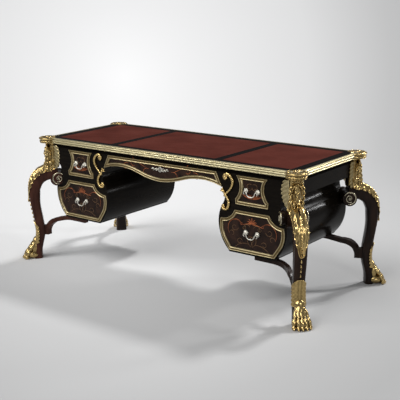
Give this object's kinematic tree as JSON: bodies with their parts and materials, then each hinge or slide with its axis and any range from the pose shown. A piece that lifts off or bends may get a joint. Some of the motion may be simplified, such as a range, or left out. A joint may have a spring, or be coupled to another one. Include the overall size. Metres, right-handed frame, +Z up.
{
  "type": "bureau mazarin",
  "caption": "Kneehole writing desk with two bombe drawer pedestals, leather top, scrolled legs, gilt busts and paw feet.",
  "frame": {"origin": "on the floor under the middle of the desk", "axes": "+X to the right of a person facing the drawers' fronts, -Y out of the drawer fronts, +Z up"},
  "size_m": [2.1548, 0.9948, 0.793],
  "materials": {
    "ebonised_wood": "black french polish",
    "dark_wood": "dark red-brown polish",
    "marquetry": "polished tortoiseshell and brass marquetry",
    "red_leather": "dyed hide, gold tooled",
    "gilt_bronze": "chased and gilded",
    "handle_metal": "pale gilded, polished",
    "drawer_lining": "plain oak",
    "lock_steel": "brushed"
  },
  "bodies": {
    "root": {"back_board": "ebonised_wood", "bust_back_left": "gilt_bronze", "bust_back_right": "gilt_bronze", "bust_front_left": "gilt_bronze", "bust_front_right": "gilt_bronze", "carcass_top": "ebonised_wood", "corner_cap_back_left": "gilt_bronze", "corner_cap_back_right": "gilt_bronze", "corner_cap_front_left": "gilt_bronze", "corner_cap_front_right": "gilt_bronze", "edge_moulding": "gilt_bronze", "knee_leaf_back_left": "gilt_bronze", "knee_leaf_back_right": "gilt_bronze", "knee_leaf_front_left": "gilt_bronze", "knee_leaf_front_right": "gilt_bronze", "kneehole_board": "ebonised_wood", "leather_panels": "red_leather", "leg_back_left": "dark_wood", "leg_back_right": "dark_wood", "leg_front_left": "dark_wood", "leg_front_right": "dark_wood", "paw_back_left": "gilt_bronze", "paw_back_right": "gilt_bronze", "paw_front_left": "gilt_bronze", "paw_front_right": "gilt_bronze", "pedestal_left": "ebonised_wood", "pedestal_right": "ebonised_wood", "rail_back_left": "dark_wood", "rail_back_right": "dark_wood", "rail_front_left": "dark_wood", "rail_front_right": "dark_wood", "scroll_mount_left": "gilt_bronze", "scroll_mount_right": "gilt_bronze", "top_board": "ebonised_wood"},
    "upper_left_drawer": {"upper_left_front": "marquetry", "upper_left_band": "gilt_bronze", "upper_left_box": "drawer_lining", "upper_left_posts": "handle_metal"},
    "upper_left_handle": {"upper_left_bail": "handle_metal"},
    "lower_left_drawer": {"lower_left_front": "marquetry", "lower_left_band": "gilt_bronze", "lower_left_box": "drawer_lining", "lower_left_posts": "handle_metal"},
    "lower_left_handle": {"lower_left_bail": "handle_metal"},
    "upper_right_drawer": {"upper_right_front": "marquetry", "upper_right_band": "gilt_bronze", "upper_right_box": "drawer_lining", "upper_right_posts": "handle_metal"},
    "upper_right_handle": {"upper_right_bail": "handle_metal"},
    "lower_right_drawer": {"lower_right_front": "marquetry", "lower_right_band": "gilt_bronze", "lower_right_box": "drawer_lining", "lower_right_posts": "handle_metal"},
    "lower_right_handle": {"lower_right_bail": "handle_metal"},
    "centre_drawer": {"centre_front": "marquetry", "centre_band": "gilt_bronze", "centre_box": "drawer_lining", "escutcheon": "handle_metal", "lock_case": "lock_steel"},
    "bolt": {"lock_bolt": "lock_steel"}
  },
  "joints": [
    {"name": "upper_left_slide", "type": "slide", "parent": "root", "child": "upper_left_drawer", "axis": [0, -1, 0], "range_m": [0, 0.38]},
    {"name": "upper_left_bail_swing", "type": "hinge", "parent": "upper_left_drawer", "child": "upper_left_handle", "pos_m": [-0.635, -0.342, 0.649], "axis": [-1, 0, 0], "range_deg": [-8, 95]},
    {"name": "lower_left_slide", "type": "slide", "parent": "root", "child": "lower_left_drawer", "axis": [0, -1, 0], "range_m": [0, 0.38]},
    {"name": "lower_left_bail_swing", "type": "hinge", "parent": "lower_left_drawer", "child": "lower_left_handle", "pos_m": [-0.635, -0.342, 0.415], "axis": [-1, 0, 0], "range_deg": [-8, 95]},
    {"name": "upper_right_slide", "type": "slide", "parent": "root", "child": "upper_right_drawer", "axis": [0, -1, 0], "range_m": [0, 0.38]},
    {"name": "upper_right_bail_swing", "type": "hinge", "parent": "upper_right_drawer", "child": "upper_right_handle", "pos_m": [0.635, -0.342, 0.649], "axis": [-1, 0, 0], "range_deg": [-8, 95]},
    {"name": "lower_right_slide", "type": "slide", "parent": "root", "child": "lower_right_drawer", "axis": [0, -1, 0], "range_m": [0, 0.38]},
    {"name": "lower_right_bail_swing", "type": "hinge", "parent": "lower_right_drawer", "child": "lower_right_handle", "pos_m": [0.635, -0.342, 0.415], "axis": [-1, 0, 0], "range_deg": [-8, 95]},
    {"name": "centre_slide", "type": "slide", "parent": "root", "child": "centre_drawer", "axis": [0, -1, 0], "range_m": [0, 0.38]},
    {"name": "bolt_throw", "type": "slide", "parent": "centre_drawer", "child": "bolt", "axis": [0, 0, 1], "range_m": [0, 0.012]}
  ]
}
